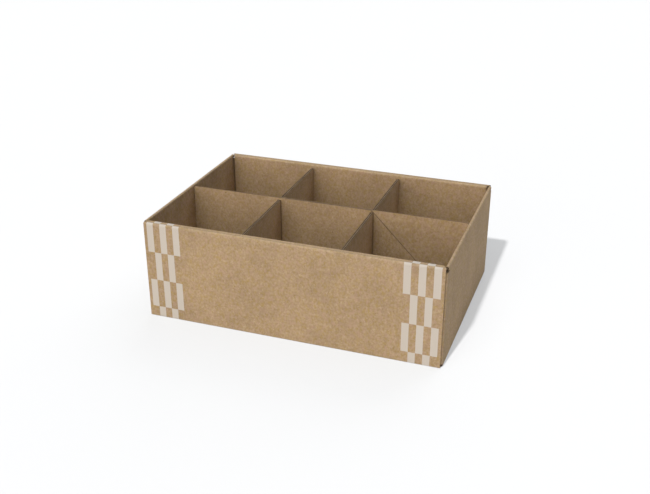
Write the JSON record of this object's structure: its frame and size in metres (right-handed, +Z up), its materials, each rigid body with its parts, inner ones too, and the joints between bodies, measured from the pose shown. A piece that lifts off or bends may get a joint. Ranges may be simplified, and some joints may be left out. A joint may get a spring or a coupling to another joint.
{
  "type": "six-cell display tray",
  "caption": "Open rectangular kraft board tray with roll-over walls and a folded cross divider that keeps packed items apart in square cells.",
  "frame": {"origin": "centre of the bottom's underside", "axes": "+X along the long walls, +Y from the printed front to the back, +Z up"},
  "size_m": [0.3, 0.21, 0.102],
  "materials": {
    "tray_board": "uncoated brown kraft with pale printed blocks at the ends of the front",
    "divider_board": "uncoated brown kraft with fluted cut edges"
  },
  "bodies": {
    "root": {"tray": "tray_board", "front_divider": "divider_board", "back_divider": "divider_board"}
  },
  "joints": []
}
